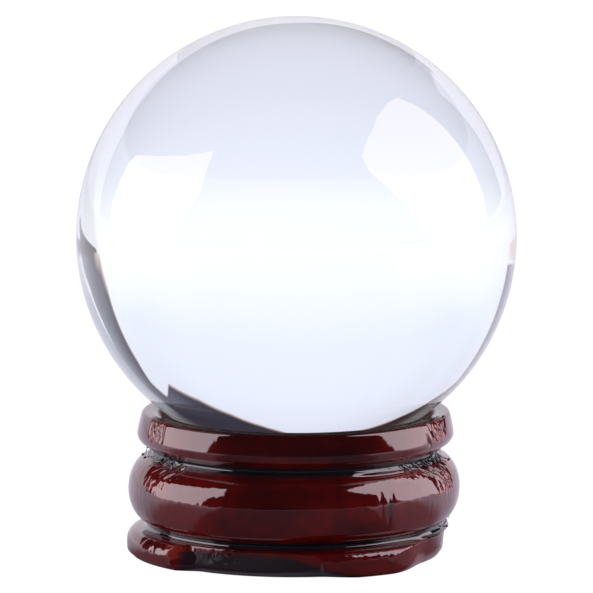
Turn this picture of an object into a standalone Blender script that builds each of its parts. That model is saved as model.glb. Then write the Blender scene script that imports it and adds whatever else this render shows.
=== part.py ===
"""Crystal ball on a small turned wooden stand. Metres, +Z up.

The solid glass ball rests in the dished mouth of the stand and lifts straight out of it.
The stand is one block of wood, turned to a rim, a groove, a bulge, a second groove and a
foot flange, bored through on its axis, with three scallops cut into the foot.
The origin is the centre of the stand's underside, on the axis that both pieces share.
"""

import math

import bmesh
import bpy

MM = 0.001

# Ball
BALL_RADIUS = 20.0 * MM
BALL_CENTRE_Z = 28.92 * MM
BALL_SEGMENTS = 48
BALL_RINGS = 24

# Stand, from the mouth down
STAND_HEIGHT = 12.95 * MM
SEAT_GAP = 0.3 * MM
MOUTH_RADIUS = 12.5 * MM
RIM_TOP_RADIUS = 13.5 * MM
RIM_CORNER = 0.35 * MM
RIM_RADIUS = 14.4 * MM
RIM_WIDEST_Z = 11.3 * MM
RIM_UNDERCUT = 0.95 * MM
RIM_UNDERCUT_HEIGHT = 1.1 * MM
UPPER_GROOVE_RADIUS = 13.25 * MM
UPPER_GROOVE_Z = 9.5 * MM
BULGE_RADIUS = 15.1 * MM
BULGE_DEPTH = 1.7 * MM
BULGE_HALF_HEIGHT = 3.0 * MM
BULGE_Z = 5.95 * MM
BULGE_ARC = 76.0
LOWER_GROOVE_RADIUS = 13.35 * MM
LOWER_GROOVE_Z = 2.65 * MM
FOOT_RADIUS = 15.2 * MM
FOOT_ROUND = 1.6 * MM
FOOT_ROUND_HEIGHT = 1.5 * MM
FOOT_CREST_Z = 0.85 * MM
FOOT_UNDERSIDE_RADIUS = 14.8 * MM
BORE_RADIUS = 8.5 * MM
BORE_CHAMFER = 0.5 * MM
STAND_SEGMENTS = 72
SHARP_EDGE = 40.0

# Scallops in the foot, angles in degrees from the front (-Y), positive towards +X
SCALLOP_COUNT = 3
FIRST_SCALLOP = -15.0
SCALLOP_FLOOR_HALF = 18.0
SCALLOP_HALF = 36.0
SCALLOP_TOP_RADIUS = 13.4 * MM
SCALLOP_BOTTOM_RADIUS = 13.65 * MM


def clear_scene():
    for obj in list(bpy.data.objects):
        bpy.data.objects.remove(obj, do_unlink=True)


def plain_material(name, colour, roughness, transmission=0.0, ior=1.5, coat=0.0):
    material = bpy.data.materials.new(name)
    material.use_nodes = True
    shader = material.node_tree.nodes["Principled BSDF"]
    shader.inputs["Base Color"].default_value = (*colour, 1.0)
    shader.inputs["Metallic"].default_value = 0.0
    shader.inputs["Roughness"].default_value = roughness
    shader.inputs["IOR"].default_value = ior
    shader.inputs["Transmission Weight"].default_value = transmission
    shader.inputs["Coat Weight"].default_value = coat
    return material


def link_mesh(name, bm, material, location=(0, 0, 0)):
    """An object of its own from a finished bmesh, smooth apart from its sharp turned edges."""
    bmesh.ops.recalc_face_normals(bm, faces=bm.faces)
    mesh = bpy.data.meshes.new(name)
    bm.to_mesh(mesh)
    bm.free()
    mesh.materials.append(material)
    mesh.shade_smooth()
    mesh.set_sharp_from_angle(angle=math.radians(SHARP_EDGE))
    obj = bpy.data.objects.new(name, mesh)
    obj.location = location
    bpy.context.scene.collection.objects.link(obj)
    return obj


def arc(centre, radii, start, end, steps):
    """Points (r, z) along an ellipse, from start to end in degrees, measured up from +r."""
    points = []
    for step in range(steps + 1):
        angle = math.radians(start + (end - start) * step / steps)
        points.append((centre[0] + radii[0] * math.cos(angle), centre[1] + radii[1] * math.sin(angle)))
    return points


def rim_profile():
    """The lip, its rounded shoulder, the flared face and the rounded underside."""
    corner = (RIM_TOP_RADIUS, STAND_HEIGHT - RIM_CORNER)
    under = (RIM_RADIUS - RIM_UNDERCUT, RIM_WIDEST_Z)
    return [
        (MOUTH_RADIUS, STAND_HEIGHT),
        *arc(corner, (RIM_CORNER, RIM_CORNER), 90, 20, 2),
        *arc(under, (RIM_UNDERCUT, RIM_UNDERCUT_HEIGHT), 0, -68, 4),
    ]


def bulge_profile():
    """The half-round bead, stopped short of upright where each groove cuts into it."""
    centre = (BULGE_RADIUS - BULGE_DEPTH, BULGE_Z)
    return arc(centre, (BULGE_DEPTH, BULGE_HALF_HEIGHT), BULGE_ARC, -BULGE_ARC, 10)


def foot_profile():
    """The rounded flange, from the lower groove out to the crest and in to the underside."""
    centre = (FOOT_RADIUS - FOOT_ROUND, FOOT_CREST_Z)
    return [
        *arc(centre, (FOOT_ROUND, FOOT_ROUND_HEIGHT), 86, 0, 5),
        (FOOT_UNDERSIDE_RADIUS, 0.0),
    ]


def inside_profile():
    """The bore, from the underside up, and the dish that stands a small gap off the ball."""
    dish_radius = BALL_RADIUS + SEAT_GAP
    outer = math.asin(MOUTH_RADIUS / dish_radius)
    inner = math.asin(BORE_RADIUS / dish_radius)
    dish = []
    for share in (0.0, 0.5, 0.85):
        angle = inner + (outer - inner) * share
        dish.append((dish_radius * math.sin(angle), BALL_CENTRE_Z - dish_radius * math.cos(angle)))
    return [(BORE_RADIUS + BORE_CHAMFER, 0.0), (BORE_RADIUS, BORE_CHAMFER), *dish]


def stand_profile():
    """The whole section of the stand as a closed loop, down the outside and up the inside."""
    return [
        *rim_profile(),
        (UPPER_GROOVE_RADIUS, UPPER_GROOVE_Z),
        *bulge_profile(),
        (LOWER_GROOVE_RADIUS, LOWER_GROOVE_Z),
        *foot_profile(),
        *inside_profile(),
    ]


def smooth_step(value):
    value = min(max(value, 0.0), 1.0)
    return value * value * (3 - 2 * value)


def scallop_limit(angle, z):
    """The largest radius that the scallops leave at this angle and height of the foot."""
    pitch = 360.0 / SCALLOP_COUNT
    off_centre = abs((angle - FIRST_SCALLOP + pitch / 2) % pitch - pitch / 2)
    rise = smooth_step((off_centre - SCALLOP_FLOOR_HALF) / (SCALLOP_HALF - SCALLOP_FLOOR_HALF))
    flare = (SCALLOP_BOTTOM_RADIUS - SCALLOP_TOP_RADIUS) * (1 - z / LOWER_GROOVE_Z)
    floor = SCALLOP_TOP_RADIUS + flare
    return floor + (FOOT_RADIUS - floor) * rise


def stand_point(r, z, angle):
    if z < LOWER_GROOVE_Z and r > LOWER_GROOVE_RADIUS:
        r = min(r, scallop_limit(angle, z))
    turn = math.radians(angle)
    return (r * math.sin(turn), -r * math.cos(turn), z)


def build_stand():
    bm = bmesh.new()
    angles = [360.0 * step / STAND_SEGMENTS for step in range(STAND_SEGMENTS)]
    rings = [[bm.verts.new(stand_point(r, z, angle)) for angle in angles] for r, z in stand_profile()]
    for upper, lower in zip(rings, rings[1:] + rings[:1]):
        for i in range(STAND_SEGMENTS):
            j = (i + 1) % STAND_SEGMENTS
            bm.faces.new((upper[i], lower[i], lower[j], upper[j]))
    lacquer = plain_material("red lacquered wood", (0.075, 0.008, 0.010), 0.22, coat=0.8)
    return link_mesh("wooden_stand", bm, lacquer)


def build_ball():
    """A solid glass sphere. Its origin is its centre, on the line along which it lifts out."""
    bm = bmesh.new()
    bmesh.ops.create_uvsphere(
        bm, u_segments=BALL_SEGMENTS, v_segments=BALL_RINGS, radius=BALL_RADIUS
    )
    glass = plain_material("clear glass", (0.97, 0.985, 1.0), 0.0, transmission=1.0, ior=1.52)
    return link_mesh("crystal_ball", bm, glass, location=(0, 0, BALL_CENTRE_Z))


clear_scene()
build_stand()
build_ball()
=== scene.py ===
"""Looks of the crystal ball on its turned, red lacquered stand. Metres, +Z up, front towards -Y.

Angles round the stand are in degrees from the front, positive towards +X. Heights and radii of
the stand's section are in millimetres, as a turner would mark them.
"""

import math

import bmesh
import bpy
import numpy as np
from mathutils import Matrix, Vector


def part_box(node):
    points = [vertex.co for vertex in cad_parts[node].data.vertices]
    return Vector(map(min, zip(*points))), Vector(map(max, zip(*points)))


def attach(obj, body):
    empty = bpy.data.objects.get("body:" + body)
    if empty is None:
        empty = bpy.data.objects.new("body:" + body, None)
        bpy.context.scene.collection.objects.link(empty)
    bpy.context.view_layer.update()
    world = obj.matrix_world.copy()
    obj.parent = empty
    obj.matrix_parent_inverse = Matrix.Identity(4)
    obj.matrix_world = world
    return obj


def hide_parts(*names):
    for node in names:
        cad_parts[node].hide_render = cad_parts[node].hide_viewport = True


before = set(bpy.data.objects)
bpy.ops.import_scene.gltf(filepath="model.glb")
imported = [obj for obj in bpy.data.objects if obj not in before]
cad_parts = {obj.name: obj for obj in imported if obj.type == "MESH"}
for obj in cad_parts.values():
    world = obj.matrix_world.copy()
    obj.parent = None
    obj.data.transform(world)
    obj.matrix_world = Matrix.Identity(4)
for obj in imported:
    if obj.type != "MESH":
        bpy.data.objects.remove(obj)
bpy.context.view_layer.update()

MM = 0.001

BALL_LOW, BALL_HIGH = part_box("crystal_ball")
BALL_RADIUS = (BALL_HIGH.z - BALL_LOW.z) / 2 / MM
BALL_CENTRE_Z = (BALL_HIGH.z + BALL_LOW.z) / 2 / MM
STAND_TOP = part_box("wooden_stand")[1].z / MM

# Section of the stand
MOUTH_RADIUS = 12.9
RIM_TOP_RADIUS = 13.7
RIM_CORNER = 0.35
RIM_RADIUS = 14.4
RIM_WIDEST_Z = 11.0
RIM_FULLNESS = 0.03
RIM_UNDERCUT = (0.95, 0.95)
UPPER_GROOVE = (13.05, 9.5)
BULGE_CENTRE = (13.1, 5.95)
BULGE_RADII = (2.0, 3.0)
BULGE_ARC = 76.0
LOWER_GROOVE = (13.35, 2.65)
FOOT_CENTRE = (13.6, 0.85)
FOOT_RADII = (1.6, 1.5)
FOOT_ARC = 89.0
FOOT_EDGE = 0.4
BORE_RADIUS = 8.5
BORE_CHAMFER = 0.5
BORE_EDGE = 0.06
SEAT_CLEARANCE = 0.1

# How much of the inside's paler colour the underside and the bore show; the seat shows all of it.
# The bore and the underside stay darker, as painted shade.
BORE_PAINTED_SHADE = 0.12

# The foot's rounded section as the power of its cosine and sine, sharper along part of the front:
# middle, half width and fade of that part in degrees
FOOT_SQUARENESS = {"round": 0.75, "sharp": 0.42, "arc": (28.0, 24.0, 14.0)}

# The outside was turned a little off the axis of the seat: (height, sideways shift)
OFF_CENTRE = ((0.0, -0.25), (2.6, -0.25), (6.0, -0.22), (9.5, -0.12), (12.9, -0.05))

# Scallops cut into the foot, each steep at its left end and easing out at its right end
SCALLOPS = (-15.0, 105.0, 225.0)
SCALLOP_TOP = {"floor": 13.78, "left": (-36.0, -26.0), "right": (2.0, 28.0)}
SCALLOP_BOTTOM = {"floor": 13.9, "left": (-34.0, -22.0), "right": (24.0, 41.0)}

# Under a crest each scallop's side is painted dark, as painted shade: the crest's height at the left,
# where it falls to the floor at the right, and where the painted shade starts, in degrees from the
# scallop's middle
SCALLOP_CREST = 1.95
SCALLOP_RUNOUT = (10.0, 42.0)
SCALLOP_START = (-34.0, -28.0)
SCALLOP_SHADE_DARKNESS = 0.72

# One corner of the foot broke away along the grain, with lacquer pooled above it
BROKEN_CORNER = {"arc": (84.0, 22.0, 28.0), "top": 13.95, "bottom": 13.5}
POOLED_FILL = (90.0, 22.0, 24.0, 0.62)

# Lacquer also fills out the upper groove here: middle, half width and fade in degrees, depth
UPPER_FILL = ((49.0, 10.0, 24.0, 0.30), (-128.0, 12.0, 20.0, 0.25))

# Torn grain: middle, half width and fade in degrees, top and bottom z, gouges a turn, their lean in
# degrees a mm, depth, seed
TORN_ZONES = (
    (56.0, 10.0, 4.0, 9.35, 8.3, 230, 7.0, 0.20, 20),
    (77.0, 9.0, 5.0, 9.6, 8.5, 200, 9.0, 0.10, 22),
    (66.0, 5.0, 4.0, 8.4, 6.8, 280, 4.0, 0.09, 23),
    (-56.0, 6.0, 4.0, 9.2, 8.1, 260, -6.0, 0.20, 24),
    (126.0, 12.0, 6.0, 9.3, 8.1, 240, -7.0, 0.18, 26),
    (-124.0, 12.0, 6.0, 9.3, 8.1, 260, 7.0, 0.18, 28),
    (58.0, 0.8, 1.2, 12.8, 11.0, 120, 2.0, 0.20, 30),
    (67.0, 5.0, 3.0, 12.7, 11.2, 260, 3.0, 0.08, 31),
    (-63.0, 4.5, 2.0, 12.6, 11.2, 240, -3.0, 0.10, 32),
    (108.0, 6.0, 3.0, 12.6, 11.1, 260, -3.0, 0.09, 34),
    (-112.0, 5.0, 3.0, 12.6, 11.1, 260, 3.0, 0.09, 36),
    (-59.0, 6.0, 3.0, 2.0, 1.2, 280, -4.0, 0.035, 40),
    (34.5, 3.2, 1.0, 7.5, 4.6, 415, 0.0, 0.035, 45),
    (-146.0, 3.0, 1.5, 7.5, 5.0, 330, 0.0, 0.035, 44),
)

# Bright red spots, of worn wood and one of painted light on the foot's facet: middle, half width and
# fade in degrees, middle z, half height, strength
WORN_AND_LIT_ZONES = (
    (-62.5, 4.5, 1.5, 12.05, 0.75, 0.75),
    (66.0, 5.0, 2.5, 11.95, 0.75, 0.75),
    (-58.0, 6.0, 5.0, 7.4, 0.3, 0.7),
    (66.0, 5.0, 4.0, 7.3, 0.8, 0.6),
    (50.0, 9.0, 4.0, 8.5, 0.3, 0.35),
    # Painted light: the foot's facet, painted bright red for the light it catches
    (-46.5, 3.3, 1.2, 1.65, 0.5, 0.66),
    (50.5, 3.5, 1.5, 1.65, 0.6, 0.45),
    (112.0, 5.0, 3.0, 11.9, 0.7, 0.7),
    (-114.0, 5.0, 3.0, 11.9, 0.7, 0.7),
)

# Stray fibres: middle and half width in degrees, lowest and highest z, radius, count, length, lean
# in degrees a mm, thickness, seed
TUFTS = (
    (-57.0, 6.0, 8.8, 9.5, 13.50, 10, 0.6, -9.0, 0.11, 1),
    (-81.0, 8.0, 9.0, 9.9, 13.65, 8, 0.7, 7.0, 0.06, 2),
    (72.0, 10.0, 8.9, 9.3, 13.62, 8, 1.25, -9.0, 0.20, 3),
    (49.0, 7.0, 9.0, 9.4, 13.50, 9, 0.4, -9.0, 0.08, 4),
    (77.0, 6.0, 3.0, 3.9, 14.15, 7, 0.5, 6.0, 0.10, 5),
    (66.0, 4.0, 1.9, 2.8, 13.90, 6, 0.35, -8.0, 0.09, 6),
    (125.0, 11.0, 8.7, 9.6, 13.55, 16, 0.7, 9.0, 0.09, 7),
    (-123.0, 11.0, 8.7, 9.6, 13.55, 16, 0.7, -9.0, 0.09, 8),
)

# Beads of lacquer: azimuth, z, radius from the axis, size
BEADS = (
    (-77.0, 10.05, 13.75, 0.13), (-88.0, 8.95, 13.85, 0.15), (-56.0, 9.05, 13.62, 0.09),
    (-47.0, 9.15, 13.58, 0.07), (86.0, 8.6, 14.05, 0.13), (67.0, 8.05, 14.40, 0.24),
    (66.0, 3.3, 13.95, 0.10), (72.0, 3.0, 13.98, 0.12), (78.0, 2.75, 14.02, 0.10),
    (84.0, 2.5, 14.05, 0.12), (69.0, 2.35, 14.0, 0.09), (76.0, 12.78, 13.80, 0.30),
    (84.0, 12.70, 13.85, 0.22), (118.0, 9.0, 13.65, 0.12), (-118.0, 9.1, 13.65, 0.10),
    (132.0, 3.0, 13.7, 0.10), (-20.0, 2.55, 13.62, 0.05), (30.0, 6.6, 15.04, 0.05),
    (22.0, 4.4, 14.86, 0.06), (37.0, 3.9, 14.62, 0.06), (7.0, 7.2, 15.0, 0.05),
)

# Where the foot's crest is speckled with dried lacquer: middle and half width in degrees
SPECKLED = ((-31.0, 8.0), (29.0, 16.0), (150.0, 14.0), (-140.0, 14.0))

# Points round the stand in each row, and the rows from the mouth down at which tool marks start,
# at which the outside's own axis starts, and at which the lip's flat top ends
COLUMNS = 820
MARKED_FROM = 4
OFF_AXIS_FROM = 5
LIP_END = 6

# Heights at which the grooves are darkened, with its spread: pooled lacquer and painted shade in
# the grooves; and a band where the lacquer dried dull
POOLED_AND_SHADED_GROOVES = ((9.45, 0.55), (2.75, 0.4))
DULL_BAND = (9.7, 10.1, 0.12)
DULLNESS = 0.5
FIBRE_DARKNESS = 0.75

# The broad sides of the stand, where the fibres run out end on: middle, half width and fade
# The same sides are also painted a lighter red, as painted light from the softboxes
END_GRAIN_AND_LIT_SIDES = ((-78.0, 30.0, 28.0), (78.0, 30.0, 28.0))

# Heights (m) between which the rim turns darker
RIM_DARKENING_HEIGHTS = (0.0105, 0.0112)

# Colours of the lacquered wood, with painted shade and painted light among them
DYE_DARK = (0.022, 0.0007, 0.0008, 1)
DYE_CLEAR = (0.070, 0.0014, 0.0012, 1)
DYE_STREAK = (0.012, 0.001, 0.0015, 1)
RIM_DARKER = (0.007, 0.001, 0.0015, 1)
# Painted light: the lighter red of the sides, where the softboxes light the stand
PAINTED_SIDE_LIGHT_RED = (0.12, 0.004, 0.004, 1)
# Bright red of worn wood, also used as painted light on the foot's facet
WORN_AND_LIT_RED = (0.16, 0.012, 0.008, 1)
DYE_FLECK = (0.14, 0.008, 0.004, 1)
# Painted shade in the hollows of the torn grain
HOLLOW_SHADE = (0.006, 0.002, 0.003, 1)
# Near black of the grooves, from pooled lacquer and painted shade, and painted shade under the scallops'
# crests
POOLED_LACQUER_AND_SHADE = (0.004, 0.005, 0.007, 1)
DYE_INSIDE = (0.16, 0.022, 0.018, 1)
LACQUER_IOR = 1.9

# The dim room and the far table, as shares of the tent's and the table's own colours
WHITE = (1, 1, 1, 1)
ROOM_NEAR = (0.07, 0.068, 0.09, 1)
ROOM_DEEP = (0.26, 0.29, 0.31, 1)
ROOM_TOP = (0.05, 0.045, 0.06, 1)
ROOM_RED = (0.05, 0.03, 0.028, 1)
ROOM_BROWN = (0.05, 0.035, 0.028, 1)
RAIL_LOW = (0.34, 0.38, 0.38, 1)
RAIL_HIGH = (0.93, 0.95, 0.92, 1)
FRINGE = (0.95, 0.72, 0.5, 1)
WARM_SPOT = (0.86, 0.66, 0.48, 1)
DIM_TABLE = (0.81, 0.80, 0.79, 1)
DUST = (0.45, 0.47, 0.52, 1)
GLASS_IOR = 1.52

# Camera and light
VIEW_ELEVATION = 8.9
VIEW_DISTANCE = 0.9
VIEW_TARGET = (0.00001, 0.0, 0.02341)
LENS = 601.5
FLOOR_LIFT = 0.93
SOFTBOX_DISTANCE = 0.5
SOFTBOX_CENTRE_Z = 0.015
SOFTBOX_GLOW = 2.75
SOFTBOX_COLOUR = (1.0, 0.85, 0.92, 1)
FLOOR_HALF = 1.5
FLOOR_DROP = 0.00005

# The floor as seen through the ball, glowing: colours by distance from the stand's axis, up to
# FLOOR_SPAN m, a painted shadow of ball and stand deepest some 40 to 60 mm out, and a painted pool of
# light close to the stand
FLOOR_SPAN = 0.2
PAINTED_FLOOR_SHADOW_IN_GLASS = (
    (0.10, (1.22, 1.22, 1.30)), (0.15, (0.91, 0.91, 1.03)), (0.21, (0.86, 0.875, 1.01)),
    (0.28, (0.85, 0.87, 1.00)), (0.38, (0.89, 0.925, 1.06)), (0.50, (0.94, 0.975, 1.10)),
    (0.66, (1.03, 1.07, 1.12)), (0.95, (1.045, 1.085, 1.12)),
)

# The white tent as seen through the ball: colours by height of the direction, 0 level to 1 upright
TENT = (
    (0.0, (1.045, 1.085, 1.12)), (0.22, (0.935, 0.995, 1.12)), (0.5, (0.935, 0.985, 1.13)),
    (0.64, (0.935, 0.965, 1.12)), (0.8, (0.93, 0.95, 1.10)),
)

# Edge of the tent's opening, and a pale rail beyond it on the right: (sideways, ahead) parts of a
# direction in the world, in axes that lean by TENT_LEAN degrees
TENT_LEAN = 8.9
TENT_EDGE = (
    (-1.0, 0.34), (-0.91, 0.34), (-0.83, 0.30), (-0.72, 0.245), (-0.60, 0.357), (-0.45, 0.443),
    (-0.30, 0.494), (0.0, 0.575), (0.07, 0.61), (0.14, 0.635), (0.26, 0.66), (0.385, 0.655),
    (0.52, 0.609), (0.55, 0.479), (0.62, 0.479), (0.664, 0.539), (0.734, 0.586), (0.768, 0.607),
    (0.807, 0.586), (0.842, 0.539), (1.0, 0.5),
)
RAIL = ((-1.0, 0.36), (0.80, 0.36), (0.86, 0.357), (0.912, 0.329), (0.969, 0.23), (1.0, 0.05))

# Upper edge of the white backdrop: (azimuth / 180, sine of the elevation), 0 straight behind
BACKDROP_TOP = (
    (-1.0, 0.0), (-0.31, 0.0), (-0.292, 0.0), (-0.275, 0.105), (-0.24, 0.275), (-0.173, 0.364),
    (-0.104, 0.383), (0.0, 0.366), (0.037, 0.275), (0.1, 0.232), (0.132, 0.33), (0.165, 0.39),
    (0.197, 0.42), (0.203, 0.0), (1.0, 0.0),
)

# Outlines of the softboxes as seen from the object: azimuth, lower edge and upper edge in
# degrees; azimuth is from the far side (+Y), positive towards +X
SOFTBOXES = {
    "softbox_left": (
        (-124, 25, 28), (-119, 17, 46), (-111, -1.5, 42), (-100, -1.5, 37), (-85, -1.5, 31),
        (-68, -1.5, 24), (-66, 6, 20),
    ),
    "softbox_right": (
        (133, 38, 46), (122, 24, 52), (108, 6, 55), (97, -1.5, 57), (72, -1.5, 54),
        (63, -1.5, 50), (61, 10, 40),
    ),
}


# ---------------------------------------------------------------- shapes in general


def smooth_step(value):
    value = np.clip(value, 0.0, 1.0)
    return value * value * (3 - 2 * value)


def ramp(value, start, end):
    """0 before start, 1 after end, smooth in between; start may be the larger of the two."""
    return smooth_step((value - start) / (end - start))


def turn(degrees):
    """The same direction, told from -180 to 180."""
    return (degrees + 180.0) % 360.0 - 180.0


def window(angle, middle, half, soft):
    """1 within half degrees of middle, fading to 0 over soft degrees more."""
    return ramp(np.abs(turn(angle - middle)), half + soft, half)


def window_of(value, low, high, soft):
    """1 from low to high, fading to 0 over soft on either side."""
    return ramp(value, low - soft, low) * ramp(value, high + soft, high)


def ripple(angle, height, cells, step, seed):
    """Smooth random values in -1..1 over the turned surface: cells round the stand, step mm high."""
    rows = 64
    lattice = np.random.RandomState(seed).uniform(-1, 1, (rows, cells))
    u = (angle / 360.0 % 1.0) * cells
    v = height / step + rows / 2
    i, j = np.floor(u).astype(int), np.floor(v).astype(int)
    fu, fv = smooth_step(u - i), smooth_step(v - j)
    below = lattice[j % rows, i % cells] * (1 - fu) + lattice[j % rows, (i + 1) % cells] * fu
    above = lattice[(j + 1) % rows, i % cells] * (1 - fu) + lattice[(j + 1) % rows, (i + 1) % cells] * fu
    return below * (1 - fv) + above * fv


def arc(centre, radii, start, end, steps):
    """Points (r, z) along an ellipse, from start to end in degrees, measured up from +r."""
    angles = np.radians(np.linspace(start, end, steps))
    return np.stack([centre[0] + radii[0] * np.cos(angles), centre[1] + radii[1] * np.sin(angles)], 1)


def resample(points, count):
    """The same outline with count points, evenly spaced along it."""
    points = np.asarray(points, float)
    lengths = np.concatenate([[0.0], np.cumsum(np.linalg.norm(np.diff(points, axis=0), axis=1))])
    at = np.linspace(0, lengths[-1], count)
    return np.stack([np.interp(at, lengths, points[:, k]) for k in (0, 1)], 1)


def link(name, mesh, body, material):
    """A finished piece in the scene, smooth, riding on its body."""
    mesh.materials.append(material)
    mesh.shade_smooth()
    obj = bpy.data.objects.new(name, mesh)
    bpy.context.scene.collection.objects.link(obj)
    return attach(obj, body)


def paint(mesh, **layers):
    """Values at the points of a mesh for its material to read, one layer a name."""
    for name, values in layers.items():
        layer = mesh.attributes.new(name, "FLOAT", "POINT")
        layer.data.foreach_set("value", np.asarray(values, np.float32).ravel())


# ---------------------------------------------------------------- the stand


def section_outside():
    """Mouth edge, rim, upper groove and bulge, the same all round, as rows from the top down."""
    mouth = resample([(MOUTH_RADIUS, STAND_TOP - 0.06), (MOUTH_RADIUS + 0.1, STAND_TOP),
                      (RIM_TOP_RADIUS, STAND_TOP)], 6)
    shoulder = arc((RIM_TOP_RADIUS, STAND_TOP - RIM_CORNER), (RIM_CORNER, RIM_CORNER), 90, 12, 6)
    face = resample([shoulder[-1], (RIM_RADIUS, RIM_WIDEST_Z)], 12)
    face[:, 0] += RIM_FULLNESS * np.sin(np.linspace(0, math.pi, len(face)))
    under_centre = (RIM_RADIUS - RIM_UNDERCUT[0], RIM_WIDEST_Z)
    under = arc(under_centre, RIM_UNDERCUT, 0, -68, 9)
    bulge = arc(BULGE_CENTRE, BULGE_RADII, BULGE_ARC, -BULGE_ARC, 60)
    groove = resample([under[-1], UPPER_GROOVE, bulge[0]], 11)
    upper = resample(bulge[:28], 24)
    lower = resample(bulge[27:], 20)
    runs = (mouth, shoulder, face, under, groove, upper)
    return np.concatenate([*(run[:-1] for run in runs), lower])


def scallop_edge(local, shape):
    """Radius of the cut at this angle from the scallop's middle, along its top or bottom edge."""
    left = 1 - ramp(local, *shape["left"])
    right = ramp(local, *shape["right"])
    full = FOOT_CENTRE[0] + FOOT_RADII[0] + 0.05
    return shape["floor"] + (full - shape["floor"]) * np.maximum(left, right)


def scallop_limits(angle):
    """Largest radii that the scallops leave at the top and at the bottom of the foot."""
    tops, bottoms = [], []
    for middle in SCALLOPS:
        local = turn(angle - middle)
        tops.append(scallop_edge(local, SCALLOP_TOP))
        bottoms.append(scallop_edge(local, SCALLOP_BOTTOM))
    broken = window(angle, *BROKEN_CORNER["arc"])
    top, bottom = np.min(tops, 0), np.min(bottoms, 0)
    top = top + (np.minimum(top, BROKEN_CORNER["top"]) - top) * broken
    bottom = bottom + (np.minimum(bottom, BROKEN_CORNER["bottom"]) - bottom) * broken
    return top, bottom


def section_foot(angle, rows_above=12, rows_below=11):
    """Rows of the foot flange at each angle: out along its rounded top, then down its cut side."""
    top, bottom = scallop_limits(angle)
    sharp = window(angle, *FOOT_SQUARENESS["arc"])
    power = FOOT_SQUARENESS["round"] + (FOOT_SQUARENESS["sharp"] - FOOT_SQUARENESS["round"]) * sharp
    reach = np.clip((top - FOOT_CENTRE[0]) / FOOT_RADII[0], 0.0, 1.0) ** (1 / power)
    edge = np.minimum(np.degrees(np.arccos(reach)), FOOT_ARC)
    rows = []
    for share in np.linspace(0, 1, rows_above):
        at = np.radians(FOOT_ARC + (edge - FOOT_ARC) * share)
        out, rise = np.cos(at) ** power, np.sin(at) ** power
        rows.append((FOOT_CENTRE[0] + FOOT_RADII[0] * out, FOOT_CENTRE[1] + FOOT_RADII[1] * rise))
    edge_r, edge_z = rows[-1]
    for share in np.linspace(0, 1, rows_below + 1)[1:]:
        z = edge_z * (1 - share)
        wall = bottom + (np.minimum(top, edge_r) - bottom) * np.clip(z / np.maximum(edge_z, 0.3), 0, 1)
        off_crest = np.abs(z - FOOT_CENTRE[1]) / FOOT_RADII[1]
        swell = np.clip(1 - off_crest ** (2 / power), 0, 1) ** (power / 2)
        r = np.minimum(wall, FOOT_CENTRE[0] + FOOT_RADII[0] * swell)
        r = r - FOOT_EDGE * ramp(z, FOOT_EDGE, 0.0) * 0.7
        rows.append((r, z))
    return rows


def section_inside():
    """Underside, bore and dished seat, from the foot's edge back up to the mouth."""
    seat_radius = BALL_RADIUS + SEAT_CLEARANCE
    radii = [BORE_RADIUS, BORE_RADIUS + BORE_EDGE, *np.linspace(BORE_RADIUS, MOUTH_RADIUS, 7)[1:-1]]
    seat = [(r, BALL_CENTRE_Z - math.sqrt(seat_radius**2 - r**2)) for r in radii]
    return [(12.6, 0.0), (10.8, 0.0), (BORE_RADIUS + BORE_CHAMFER, 0.0), (BORE_RADIUS, BORE_CHAMFER),
            (BORE_RADIUS, 3.4), (BORE_RADIUS, seat[0][1] - BORE_EDGE), *seat]


def stand_grid():
    """Radius and height of every point of the stand, as rows of COLUMNS points each."""
    angle = np.arange(COLUMNS) * 360.0 / COLUMNS
    rows = [(np.full(COLUMNS, r), np.full(COLUMNS, z)) for r, z in section_outside()]
    fill = POOLED_FILL[3] * window(angle, *POOLED_FILL[:3])
    for out, up in ((0.02, 0.12), (0.0, 0.0), (0.13, -0.21)):
        rows.append((LOWER_GROOVE[0] + out + fill, np.full(COLUMNS, LOWER_GROOVE[1] + up)))
    rows += section_foot(angle)
    outside = len(rows)
    rows += [(np.full(COLUMNS, r), np.full(COLUMNS, z)) for r, z in section_inside()]
    r = np.array([row[0] for row in rows])
    z = np.array([row[1] for row in rows])
    return np.broadcast_to(angle, r.shape), r, z, outside


def end_grain_and_lit_sides(angle):
    """How far the cutter met the grain end on: strongest where the fibres run out at the sides. Also where
    the sides are painted a lighter red, as painted light.
    """
    return sum(window(angle, *side) for side in END_GRAIN_AND_LIT_SIDES)


def turning_marks(angle, z, worn_and_lit):
    """Slow unevenness of the thickly lacquered outside, the cutter's fine chatter, roughness on the worn
    spots and on the facet painted as lit.
    """
    slow = 0.022 * ripple(angle, z, 14, 3.1, 1) + 0.01 * ripple(angle, z, 34, 1.7, 2)
    chatter = ripple(angle, z, 228, 5.0, 3) * 0.6 + ripple(angle, z, 420, 4.0, 4) * 0.4
    strength = 0.002 + 0.011 * end_grain_and_lit_sides(angle) * (0.55 + 0.45 * ripple(angle, z, 20, 4.0, 5))
    teeth = ripple(angle, z, 250, 0.55, 6) * ramp(np.abs(turn(angle)), 16.0, 26.0)
    teeth = teeth * ramp(np.abs(turn(angle)), 164.0, 154.0) * window_of(z, 4.6, 9.2, 0.8)
    crest = ripple(angle, z, 360, 0.3, 7) * window_of(z, 1.2, 2.3, 0.3)
    crest = crest * sum(window(angle, middle, half, 5.0) for middle, half in SPECKLED)
    rough = ripple(angle, z, 400, 0.24, 8) + 0.6 * ripple(angle, z, 230, 0.5, 9)
    rough = rough * np.minimum(worn_and_lit, 1.0)
    return slow + chatter * strength + 0.006 * teeth + 0.028 * crest + 0.055 * rough


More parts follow.
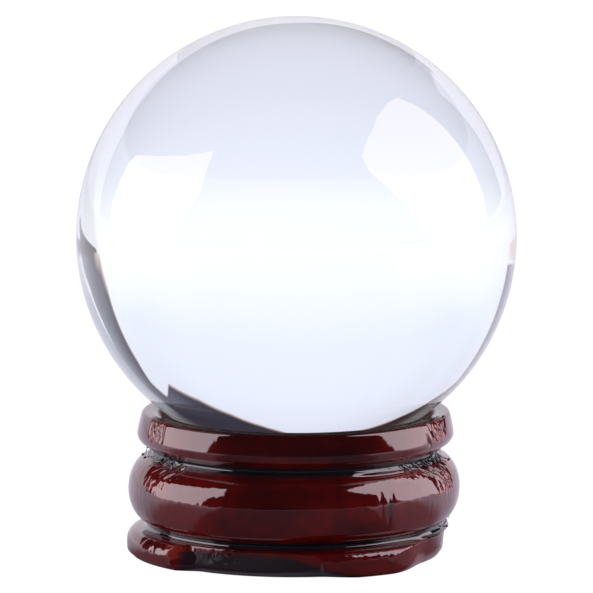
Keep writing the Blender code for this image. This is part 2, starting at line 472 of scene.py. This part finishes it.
def tear(angle, z, top, bottom, cells, lean, seed):
    """Depth in 0..1 of slanting gouges torn out between two heights, each of its own length."""
    leaning = angle + lean * (z - top)
    tooth = ripple(leaning, z * 0 + 1.0, cells, 1.0, seed)
    length = ripple(leaning, z * 0 + 1.0, cells, 1.0, seed + 1)
    end = bottom + (top - bottom) * 0.35 * length
    along = ramp(z, end, end + 0.25 * (top - bottom)) * ramp(z, top + 0.35, top)
    return along * ramp(tooth, -0.25, 0.35)


def worn_and_lit_spots(angle, z):
    """Where the wood took or kept less dye and shows a brighter red, and where the foot's facet is painted
    bright red as painted light.
    """
    worn_and_lit = np.zeros_like(z)
    for middle, half, soft, centre, half_height, strength in WORN_AND_LIT_ZONES:
        frayed = angle + 2.5 * ripple(angle, z, 200, 0.5, 10)
        level = z + 0.25 * ripple(angle, z, 260, 0.4, 11)
        spot = window(frayed, middle, half, soft)
        spot = spot * window_of(level, centre - half_height, centre + half_height, 0.3)
        worn_and_lit = np.maximum(worn_and_lit, strength * spot)
    return worn_and_lit


def torn_grain(angle, z):
    """Total depth in mm of the torn grain, and how torn each point is."""
    depth = np.zeros_like(z)
    torn = np.zeros_like(z)
    for middle, half, soft, top, bottom, cells, lean, deep, seed in TORN_ZONES:
        mask = window(angle, middle, half, soft)
        cut = mask * tear(angle, z, top, bottom, cells, lean, seed)
        depth = depth + deep * cut
        torn = np.maximum(torn, cut)
    return depth, torn


def shift_sideways(z):
    """How far the outside was turned off the seat's axis at this height."""
    heights, shifts = zip(*OFF_CENTRE)
    return np.interp(z, heights, shifts)


def scallop_painted_shade(angle, z):
    """Painted shade: how dark each scallop's side is painted under a crest that slants down to the right.
    """
    cut = np.zeros_like(z)
    for middle in SCALLOPS:
        local = turn(angle - middle)
        crest = SCALLOP_CREST * (1 - ramp(local, *SCALLOP_RUNOUT))
        under = ramp(z, crest + 0.1, crest - 0.15)
        cut = np.maximum(cut, under * ramp(local, *SCALLOP_START) * (local < SCALLOP_RUNOUT[1]))
    return SCALLOP_SHADE_DARKNESS * cut


def stand_layers(angle, r, z, outside):
    """What the lacquer's material needs to know at each point of the stand."""
    rows = np.arange(len(r))[:, None]
    is_outside = ((rows >= MARKED_FROM) & (rows < outside)).astype(float)
    pooled_and_shaded = sum(np.exp(-(((z - at) / spread) ** 2)) for at, spread in POOLED_AND_SHADED_GROOVES)
    bored = (z < STAND_TOP / 2) | (r < BORE_RADIUS + BORE_EDGE / 2)
    return {
        "dull": DULLNESS * window_of(z, *DULL_BAND) * is_outside,
        # Pooled lacquer and painted shade in the grooves, and painted shade under the scallops' crests
        "groove": np.maximum(pooled_and_shaded, scallop_painted_shade(angle, z)) * is_outside,
        "torn": torn_grain(angle, z)[1] * is_outside,
        # Worn spots, and the foot's facet as painted light
        "worn_and_lit": worn_and_lit_spots(angle, z) * is_outside,
        # The seat's paler colour, mostly kept off the bore and the underside as painted shade
        "inside": (rows >= outside) * np.where(bored, BORE_PAINTED_SHADE, 1.0),
        # The sides, painted a lighter red as painted light
        "grain": np.clip(end_grain_and_lit_sides(angle), 0, 1) * is_outside,
    }


def worked_radius(angle, r, z, outside):
    """The turned radius with its tool marks, torn grain and pooled lacquer."""
    rows = np.arange(len(r))[:, None]
    is_outside = ((rows >= MARKED_FROM) & (rows < outside)).astype(float)
    is_level = ((z < 0.02) | (rows < LIP_END)).astype(float)
    marks = turning_marks(angle, z, worn_and_lit_spots(angle, z))
    fill = sum(deep * window(angle, *arc_of_fill) for *arc_of_fill, deep in UPPER_FILL)
    r = r + is_outside * fill * window_of(z, 9.25, 9.6, 0.4)
    return r + is_outside * (1 - 0.7 * is_level) * (marks - torn_grain(angle, z)[0])


def ring_faces(count):
    """Four-sided faces between count closed rows of points, the last row joined to the first."""
    faces = []
    for k in range(count):
        upper = k * COLUMNS + np.arange(COLUMNS)
        lower = (k + 1) % count * COLUMNS + np.arange(COLUMNS)
        faces.append(np.stack([upper, lower, np.roll(lower, -1), np.roll(upper, -1)], 1))
    return np.concatenate(faces).tolist()


def build_stand(material):
    angle, r, z, outside = stand_grid()
    rows = np.arange(len(r))[:, None]
    turned_off_axis = (rows >= OFF_AXIS_FROM) & (rows < outside + 1)
    worked = worked_radius(angle, r, z, outside)
    around = np.radians(angle)
    x = worked * np.sin(around) + shift_sideways(z) * turned_off_axis
    y = -worked * np.cos(around)
    points = np.stack([x, y, z], 2).reshape(-1, 3) * MM
    mesh = bpy.data.meshes.new("turned_stand")
    mesh.from_pydata(points.tolist(), [], ring_faces(len(r)))
    paint(mesh, **stand_layers(angle, worked, z, outside))
    obj = link("turned_stand", mesh, "stand", material)
    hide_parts("wooden_stand")


def on_stand(azimuth, z, r):
    """The point at this angle, height and radius of the stand as it was turned, in mm."""
    turned = math.radians(azimuth)
    return Vector((r * math.sin(turned) + float(shift_sideways(z)), -r * math.cos(turned), z))


def add_fibre(bm, start, end, thickness, arch):
    """A closed, tapered strand of wood between two points, arched outward."""
    outward = Vector((start.x, start.y, 0)).normalized()
    along = (end - start).normalized()
    across = along.cross(outward).normalized()
    outward = across.cross(along)
    rings = []
    for share, width in ((0.08, 0.45), (0.3, 0.9), (0.55, 1.0), (0.8, 0.7), (0.95, 0.3)):
        centre = start.lerp(end, share) + outward * arch * math.sin(math.pi * share)
        ring = []
        for side in range(6):
            turned = math.radians(60 * side)
            offset = across * math.cos(turned) + outward * math.sin(turned)
            ring.append(bm.verts.new(centre + offset * thickness * width / 2))
        rings.append(ring)
    for upper, lower in zip(rings, rings[1:]):
        for i in range(6):
            bm.faces.new((upper[i], upper[(i + 1) % 6], lower[(i + 1) % 6], lower[i]))
    tip = bm.verts.new(start)
    far_tip = bm.verts.new(end)
    for i in range(6):
        bm.faces.new((tip, rings[0][(i + 1) % 6], rings[0][i]))
        bm.faces.new((far_tip, rings[-1][i], rings[-1][(i + 1) % 6]))


def build_fibres(material):
    """Wood fibres that the cutter left standing in and beside the grooves, stiff with lacquer."""
    bm = bmesh.new()
    for middle, half, low, high, r, count, length, lean, thickness, seed in TUFTS:
        chance = np.random.RandomState(seed)
        for k in range(count):
            azimuth = middle + half * (2 * (k + chance.uniform(0, 1)) / count - 1)
            z = chance.uniform(low, high)
            rise = length * chance.uniform(0.6, 1.2)
            swing = lean * chance.uniform(0.5, 1.5)
            start = on_stand(azimuth, z - rise / 2, r - chance.uniform(0.0, 0.12))
            end = on_stand(azimuth + swing * rise, z + rise / 2, r - chance.uniform(-0.06, 0.15))
            add_fibre(bm, start, end, thickness * chance.uniform(0.7, 1.2), chance.uniform(0.02, 0.12))
    bmesh.ops.recalc_face_normals(bm, faces=bm.faces)
    bmesh.ops.scale(bm, vec=(MM, MM, MM), verts=bm.verts)
    mesh = bpy.data.meshes.new("torn_fibres")
    bm.to_mesh(mesh)
    bm.free()
    count = len(mesh.vertices)
    paint(mesh, groove=np.full(count, FIBRE_DARKNESS), dull=np.full(count, DULLNESS))
    obj = link("torn_fibres", mesh, "stand", material)
    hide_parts("wooden_stand")


def build_beads(material):
    """Hardened drops of lacquer and small lumps, flattened against the surface they sit on."""
    bm = bmesh.new()
    for azimuth, z, r, size in BEADS:
        place = Matrix.Translation(on_stand(azimuth, z, r)) @ Matrix.Rotation(math.radians(azimuth), 4, "Z")
        shape = place @ Matrix.Diagonal((size, size * 0.8, size * 0.85, 1))
        bmesh.ops.create_icosphere(bm, subdivisions=3, radius=1.0, matrix=shape)
    bmesh.ops.scale(bm, vec=(MM, MM, MM), verts=bm.verts)
    mesh = bpy.data.meshes.new("lacquer_beads")
    bm.to_mesh(mesh)
    bm.free()
    obj = link("lacquer_beads", mesh, "stand", material)
    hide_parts("wooden_stand")


# ---------------------------------------------------------------- the ball


def build_ball(material):
    """The polished glass sphere, round to about a thousandth of a millimetre."""
    bm = bmesh.new()
    bmesh.ops.create_icosphere(bm, subdivisions=7, radius=BALL_RADIUS * MM)
    mesh = bpy.data.meshes.new("glass_ball")
    bm.to_mesh(mesh)
    bm.free()
    mesh.transform(Matrix.Translation((0, 0, BALL_CENTRE_Z * MM)))
    obj = link("glass_ball", mesh, "ball", material)
    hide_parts("crystal_ball")


# ---------------------------------------------------------------- materials


class Graph:
    """Short ways to add nodes to a node tree and join them."""

    def __init__(self, tree):
        self.tree = tree

    def node(self, kind, inputs=None, **settings):
        made = self.tree.nodes.new(kind)
        for name, value in settings.items():
            setattr(made, name, value)
        for key, value in (inputs or {}).items():
            self.put(made.inputs[key], value)
        return made

    def put(self, socket, value):
        if isinstance(value, bpy.types.NodeSocket):
            self.tree.links.new(value, socket)
        else:
            socket.default_value = value

    def math(self, operation, a, b=0.0):
        return self.node("ShaderNodeMath", {0: a, 1: b}, operation=operation).outputs[0]

    def ramp(self, value, start, end, low=0.0, high=1.0):
        inputs = {"Value": value, "From Min": start, "From Max": end, "To Min": low, "To Max": high}
        return self.node("ShaderNodeMapRange", inputs, interpolation_type="SMOOTHSTEP").outputs[0]

    def curve(self, value, points):
        """The broken line through points (value, result); values run from -1 to 1."""
        share = self.times(self.plus(value, 1.0), 0.5)
        made = self.node("ShaderNodeFloatCurve", {"Value": share})
        line = made.mapping.curves[0].points
        while len(line) < len(points):
            line.new(0.5, 0.5)
        for point, (at, result) in zip(line, sorted(points)):
            point.location = ((at + 1) / 2, result)
            point.handle_type = "VECTOR"
        made.mapping.update()
        return made.outputs[0]

    def colours(self, value, stops):
        """Colours blended between stops (value, colour); values run from 0 to 1."""
        made = self.node("ShaderNodeValToRGB", {"Fac": value})
        while len(made.color_ramp.elements) < len(stops):
            made.color_ramp.elements.new(0.5)
        for element, (at, colour) in zip(made.color_ramp.elements, stops):
            element.position = at
            element.color = (*colour, 1)
        return made.outputs["Color"]

    def plus(self, a, b):
        return self.math("ADD", a, b)

    def minus(self, a, b):
        return self.math("SUBTRACT", a, b)

    def times(self, a, b):
        return self.math("MULTIPLY", a, b)

    def over(self, a, b):
        return self.math("DIVIDE", a, b)

    def mix(self, factor, a, b, blend="MIX"):
        """Colour a where factor is 0 and b where it is 1, or b blended into a in another way."""
        made = self.node("ShaderNodeMix", data_type="RGBA", blend_type=blend)
        for key, value in zip((0, 6, 7), (factor, a, b)):
            self.put(made.inputs[key], value)
        return made.outputs[2]

    def mix_shaders(self, factor, a, b):
        return self.node("ShaderNodeMixShader", {0: factor, 1: a, 2: b}).outputs[0]

    def glow(self, colour, strength=1.0):
        return self.node("ShaderNodeEmission", {"Color": colour, "Strength": strength}).outputs[0]

    def parts(self, vector):
        return self.node("ShaderNodeSeparateXYZ", {0: vector}).outputs

    def layer(self, name):
        """Values painted on the mesh by paint()."""
        return self.node("ShaderNodeAttribute", attribute_name=name).outputs["Fac"]

    def noise(self, vector, scale, detail=2.0, roughness=0.5, stretch=(1, 1, 1)):
        scaled = self.node("ShaderNodeMapping", {"Vector": vector, "Scale": stretch}).outputs[0]
        inputs = {"Vector": scaled, "Scale": scale, "Detail": detail, "Roughness": roughness}
        return self.node("ShaderNodeTexNoise", inputs).outputs[0]


def new_material(name):
    material = bpy.data.materials.new(name)
    material.use_nodes = True
    return material, Graph(material.node_tree), material.node_tree.nodes["Principled BSDF"]


def dyed_wood(graph, place, cloud, streak):
    """Colour of the wood under its lacquer: paler where dye is thin and dark where lacquer pooled, with
    painted shade in the grooves, hollows, scallops and bore, and painted light on the sides and a facet.
    """
    torn = graph.layer("torn")
    grain = graph.layer("grain")
    speck = graph.noise(place, 2600.0, 2.0, 0.5)
    mottle = graph.noise(place, 1500.0, 3.0, 0.6)
    dye = graph.mix(graph.ramp(cloud, 0.3, 0.7), DYE_DARK, DYE_CLEAR)
    # Darker on the rim above about 11 mm, except on the sides
    rim = graph.ramp(graph.parts(place)[2], *RIM_DARKENING_HEIGHTS, 0.0, 0.6)
    dye = graph.mix(graph.times(rim, graph.minus(1.0, grain)), dye, RIM_DARKER)
    # Painted light: the sides painted a lighter red
    dye = graph.mix(graph.times(grain, 0.5), dye, PAINTED_SIDE_LIGHT_RED)
    dye = graph.mix(graph.ramp(streak, 0.45, 0.75, 0.0, 0.5), dye, DYE_STREAK)
    # Bright red on worn spots, and on the foot's facet as painted light
    worn_and_lit_share = graph.ramp(graph.plus(graph.layer("worn_and_lit"), graph.times(mottle, 0.9)), 0.62, 1.15)
    dye = graph.mix(worn_and_lit_share, dye, WORN_AND_LIT_RED)
    flecks = graph.times(graph.ramp(torn, 0.3, 0.8), graph.ramp(speck, 0.55, 0.7, 0.0, 0.6))
    dye = graph.mix(flecks, dye, DYE_FLECK)
    # Painted shade in the deepest hollows of the torn grain
    shaded_hollows = graph.times(graph.ramp(torn, 0.5, 0.95), graph.ramp(mottle, 0.42, 0.55, 0.0, 0.8))
    dye = graph.mix(shaded_hollows, dye, HOLLOW_SHADE)
    # Near black: pooled lacquer and painted shade in the grooves, painted shade on the scallops' sides
    pooled_and_shaded = graph.ramp(graph.plus(graph.layer("groove"), graph.times(cloud, 0.2)), 0.35, 0.95)
    dye = graph.mix(pooled_and_shaded, dye, POOLED_LACQUER_AND_SHADE)
    return graph.mix(graph.layer("inside"), dye, DYE_INSIDE)


def lacquer_roughness(graph, cloud):
    """Glossy, and duller on torn or thinly lacquered wood and inside the stand."""
    uneven = graph.plus(graph.times(graph.layer("torn"), 0.15), graph.times(graph.layer("worn_and_lit"), 0.1))
    uneven = graph.plus(uneven, graph.times(cloud, 0.06))
    uneven = graph.plus(uneven, graph.times(graph.layer("dull"), 0.7))
    return graph.ramp(graph.plus(uneven, graph.layer("inside")), 0.0, 1.0, 0.06, 0.45)


def red_lacquer():
    """Dark red dye under thick clear lacquer, black where it pooled in the grooves, with painted shade and
    painted light in its colour.
    """
    material, graph, shader = new_material("red lacquered wood")
    place = graph.node("ShaderNodeTexCoord").outputs["Object"]
    cloud = graph.noise(place, 160.0, 3.0, 0.6, (1, 1, 2.0))
    streak = graph.noise(place, 900.0, 4.0, 0.6, (1, 1, 0.12))
    graph.put(shader.inputs["Base Color"], dyed_wood(graph, place, cloud, streak))
    graph.put(shader.inputs["Roughness"], lacquer_roughness(graph, cloud))
    shader.inputs["IOR"].default_value = LACQUER_IOR
    swell = graph.plus(graph.times(streak, 0.4), cloud)
    bump = graph.node("ShaderNodeBump", {"Height": swell, "Strength": 0.12, "Distance": 0.00012})
    graph.put(shader.inputs["Normal"], bump.outputs[0])
    return material


def clear_glass():
    """Colourless optical glass with a few specks of dust on its polish."""
    material, graph, shader = new_material("clear glass")
    place = graph.node("ShaderNodeTexCoord").outputs["Object"]
    cloud = graph.noise(place, 60.0)
    tint = graph.mix(graph.ramp(cloud, 0.3, 0.7), (0.985, 0.992, 1.0, 1), WHITE)
    dust = graph.node("ShaderNodeTexVoronoi", {"Vector": place, "Scale": 230.0})
    tint = graph.mix(graph.ramp(dust.outputs["Distance"], 0.018, 0.01), tint, DUST)
    graph.put(shader.inputs["Base Color"], tint)
    shader.inputs["Roughness"].default_value = 0.0
    shader.inputs["IOR"].default_value = GLASS_IOR
    shader.inputs["Transmission Weight"].default_value = 1.0
    return material


# ---------------------------------------------------------------- floor, light and camera


def far_table_seen(graph, sideways, reach):
    """Painted shade on the far table as the ball shows it: dimmer patches and the dim room at its edge, by
    place on the table.
    """
    dimmed = graph.times(graph.ramp(sideways, 0.775, 0.825), graph.ramp(reach, 0.05, 0.11))
    dimmed = graph.times(dimmed, graph.ramp(sideways, 0.96, 0.9))
    seen = graph.mix(dimmed, WHITE, DIM_TABLE)
    inner_edge = graph.minus(sideways, graph.ramp(reach, 0.22, 0.9, 0.13, 0.0))
    room = graph.times(graph.ramp(inner_edge, 0.812, 0.828), graph.ramp(sideways, 0.975, 0.96))
    room = graph.times(room, graph.ramp(reach, 0.20, 0.24))
    return graph.mix(room, seen, ROOM_BROWN)


def floor_in_glass(graph, path, across, reach):
    """The table as the ball shows it, glowing with the painted shadow and pool of light; far dimmer by way
    of a reflection inside the glass.
    """
    seen = graph.colours(graph.times(reach, 1 / FLOOR_SPAN), PAINTED_FLOOR_SHADOW_IN_GLASS)
    sideways = graph.over(across, reach)
    seen = graph.mix(graph.ramp(sideways, 0.86, 0.96), seen, (1.0, 1.05, 1.1, 1))
    seen = graph.mix(1.0, seen, far_table_seen(graph, sideways, reach), "MULTIPLY")
    inner = graph.math("GREATER_THAN", path["Glossy Depth"], 0.5)
    return graph.glow(graph.mix(inner, seen, (0.1, 0.1, 0.1, 1)))


def floor_in_polish(graph, away, reach):
    """How brightly the table is lit where the stand's polish mirrors it: dim in front (-Y)."""
    ahead = graph.over(away, reach)
    front = graph.ramp(ahead, -0.68, -0.6, 0.1, 0.3)
    lit = graph.plus(front, graph.ramp(reach, 0.0147, 0.0139, 0.0, 0.6))
    side = graph.times(graph.ramp(ahead, -0.66, -0.55), graph.ramp(reach, 0.025, 0.2, 0.0, 0.4))
    lit = graph.plus(lit, side)
    return graph.plus(lit, graph.ramp(ahead, -0.2, 0.25, 0.0, 0.75))


def pale_floor():
    """Matt lavender-white table, which the ball and the polish of the stand see unevenly lit."""
    material, graph, shader = new_material("pale floor")
    tree = material.node_tree
    path = graph.node("ShaderNodeLightPath").outputs
    place = graph.node("ShaderNodeTexCoord").outputs["Object"]
    across, away, _ = graph.parts(place)
    reach = graph.node("ShaderNodeVectorMath", {0: place}, operation="LENGTH").outputs["Value"]
    grain = graph.noise(place, 300.0, 3.0)
    colour = graph.mix(grain, (0.80, 0.81, 0.93, 1), (0.84, 0.85, 0.97, 1))
    matt = graph.node("ShaderNodeBsdfDiffuse", {"Color": colour}).outputs[0]
    lift = graph.times(path["Is Camera Ray"], FLOOR_LIFT)
    shown = graph.mix_shaders(lift, matt, graph.glow(WHITE, 1.05))
    in_glass = floor_in_glass(graph, path, across, reach)
    shown = graph.mix_shaders(path["Is Transmission Ray"], shown, in_glass)
    polish = graph.minus(path["Is Glossy Ray"], path["Is Transmission Ray"])
    loss = graph.times(polish, graph.minus(1.0, floor_in_polish(graph, away, reach)))
    shown = graph.mix_shaders(loss, shown, graph.glow((0, 0, 0, 1)))
    tree.links.new(shown, tree.nodes["Material Output"].inputs["Surface"])
    tree.nodes.remove(shader)
    return material


def build_floor():
    bm = bmesh.new()
    bmesh.ops.create_grid(bm, x_segments=1, y_segments=1, size=FLOOR_HALF)
    mesh = bpy.data.meshes.new("floor")
    bm.to_mesh(mesh)
    bm.free()
    mesh.materials.append(pale_floor())
    floor = bpy.data.objects.new("floor", mesh)
    floor.location.z = -FLOOR_DROP
    bpy.context.scene.collection.objects.link(floor)


def seen_by_polish(graph, way):
    """What polished surfaces mirror: the white backdrop behind the object, dark elsewhere."""
    across, away, height = graph.parts(way)
    turned = graph.over(graph.math("ARCTAN2", across, away), math.pi)
    top = graph.minus(graph.curve(turned, BACKDROP_TOP), height)
    backdrop = graph.ramp(top, -0.015, 0.015)
    return graph.mix(backdrop, (0.015, 0.015, 0.018, 1), (0.97, 0.92, 1.0, 1))


def dark_room_seen(graph, x, up, ahead):
    """What the tent's opening and the dim room beyond it make of the light, by its direction."""
    below = graph.minus(graph.curve(x, TENT_EDGE), ahead)
    rail = graph.minus(graph.curve(x, RAIL), ahead)
    right = graph.ramp(x, 0.5, 0.6)

    room = graph.mix(graph.ramp(below, 0.0, 0.34), ROOM_NEAR, ROOM_DEEP)
    room = graph.mix(graph.ramp(up, 0.62, 0.78), room, ROOM_TOP)
    red = graph.times(graph.ramp(x, -0.2, -0.4), graph.ramp(up, 0.66, 0.72))
    room = graph.mix(red, room, ROOM_RED)
    outer = graph.mix(graph.ramp(up, 0.35, 0.02), RAIL_LOW, RAIL_HIGH)
    room = graph.mix(graph.times(right, graph.ramp(rail, -0.01, 0.02)), room, outer)
    line = graph.times(graph.ramp(rail, -0.03, -0.004), graph.ramp(rail, 0.022, 0.004))
    line = graph.times(line, graph.ramp(x, 0.78, 0.86))
    room = graph.mix(line, room, WHITE)
    brown = graph.times(graph.ramp(up, 0.12, 0.05), graph.ramp(rail, 0.02, -0.02))
    room = graph.mix(graph.times(right, brown), room, ROOM_BROWN)

    above = graph.minus(up, graph.ramp(x, -0.2, 0.2, 0.12, -0.055))
    inside = graph.times(graph.ramp(below, -0.006, 0.008), graph.ramp(above, 0.0, 0.012))
    seen = graph.mix(inside, WHITE, room)
    fringe = graph.times(graph.ramp(below, -0.012, 0.0), graph.ramp(below, 0.02, 0.006))
    fringe = graph.times(fringe, graph.ramp(above, 0.0, 0.02, 0.0, 0.4))
    seen = graph.mix(fringe, seen, FRINGE)
    level = graph.ramp(graph.math("ABSOLUTE", up), 0.12, 0.08)
    return graph.mix(graph.times(graph.ramp(x, -0.93, -0.96), level), seen, WARM_SPOT)


def seen_through_glass(graph, way):
    """What light that has crossed the ball finds: a white tent and, through its opening, a dim
    room. Both stand still in the world. The opening is told in axes that lean by TENT_LEAN."""
    lean = math.radians(TENT_LEAN)
    x, away, height = graph.parts(way)
    rise, run = math.sin(lean), math.cos(lean)
    up = graph.plus(graph.times(away, rise), graph.times(height, run))
    ahead = graph.minus(graph.times(away, run), graph.times(height, rise))
    tent = graph.colours(height, TENT)
    room = dark_room_seen(graph, x, up, ahead)
    room = graph.mix(graph.ramp(away, -0.5, -0.2), WHITE, room)
    return graph.mix(1.0, tent, room, "MULTIPLY")


def soft_studio():
    """The world: even white light. Polish sees it as bright behind (+Y) and dim in front. Light
    that has crossed the ball finds a white tent and a dim room, or a simpler, mostly dark
    surround where it went by way of a reflection inside the glass."""
    world = bpy.data.worlds.new("studio")
    bpy.context.scene.world = world
    world.use_nodes = True
    graph = Graph(world.node_tree)
    path = graph.node("ShaderNodeLightPath").outputs
    way = graph.node("ShaderNodeTexCoord").outputs["Generated"]
    colour = graph.mix(path["Is Diffuse Ray"], (1, 1, 1, 1), (0.75, 0.75, 0.78, 1))
    colour = graph.mix(path["Is Glossy Ray"], colour, seen_by_polish(graph, way))
    inner = graph.math("GREATER_THAN", path["Glossy Depth"], 0.5)
    height = graph.parts(way)[2]
    back = graph.mix(graph.ramp(height, 0.32, 0.2), (0.02, 0.02, 0.02, 1), (0.85, 0.87, 0.9, 1))
    through = graph.mix(inner, seen_through_glass(graph, way), back)
    colour = graph.mix(path["Is Transmission Ray"], colour, through)
    background = world.node_tree.nodes["Background"]
    graph.put(background.inputs["Color"], colour)


def softbox(name, outline):
    """A large curved lamp, which the camera and the light inside the glass don't see."""
    corners = []
    for azimuth, *edges in outline:
        for elevation in edges:
            turned, raised = math.radians(azimuth), math.radians(elevation)
            flat = Vector((math.sin(turned), math.cos(turned), math.tan(raised)))
            corners.append(flat * SOFTBOX_DISTANCE)
    faces = [(2 * k, 2 * k + 1, 2 * k + 3, 2 * k + 2) for k in range(len(outline) - 1)]
    mesh = bpy.data.meshes.new(name)
    mesh.from_pydata(corners, [], faces)
    material, graph, shader = new_material(name)
    tree = material.node_tree
    glow = graph.glow(SOFTBOX_COLOUR, SOFTBOX_GLOW)
    tree.links.new(glow, tree.nodes["Material Output"].inputs["Surface"])
    tree.nodes.remove(shader)
    mesh.materials.append(material)
    lamp = bpy.data.objects.new(name, mesh)
    lamp.location.z = SOFTBOX_CENTRE_Z
    lamp.visible_camera = False
    lamp.visible_transmission = False
    bpy.context.scene.collection.objects.link(lamp)


def build_camera():
    data = bpy.data.cameras.new("camera")
    data.lens = LENS
    data.sensor_width = 36.0
    data.clip_start, data.clip_end = 0.01, 20.0
    camera = bpy.data.objects.new("camera", data)
    elevation = math.radians(VIEW_ELEVATION)
    back = Vector((0, -math.cos(elevation), math.sin(elevation)))
    camera.location = Vector(VIEW_TARGET) + back * VIEW_DISTANCE
    camera.rotation_mode = "QUATERNION"
    camera.rotation_quaternion = back.to_track_quat("Z", "Y")
    bpy.context.scene.collection.objects.link(camera)
    bpy.context.scene.camera = camera


build_camera()
build_floor()
soft_studio()
for lamp_name, lamp_outline in SOFTBOXES.items():
    softbox(lamp_name, lamp_outline)
bpy.context.scene.view_settings.view_transform = "Standard"
lacquer = red_lacquer()
build_stand(lacquer)
build_fibres(lacquer)
build_beads(lacquer)
build_ball(clear_glass())
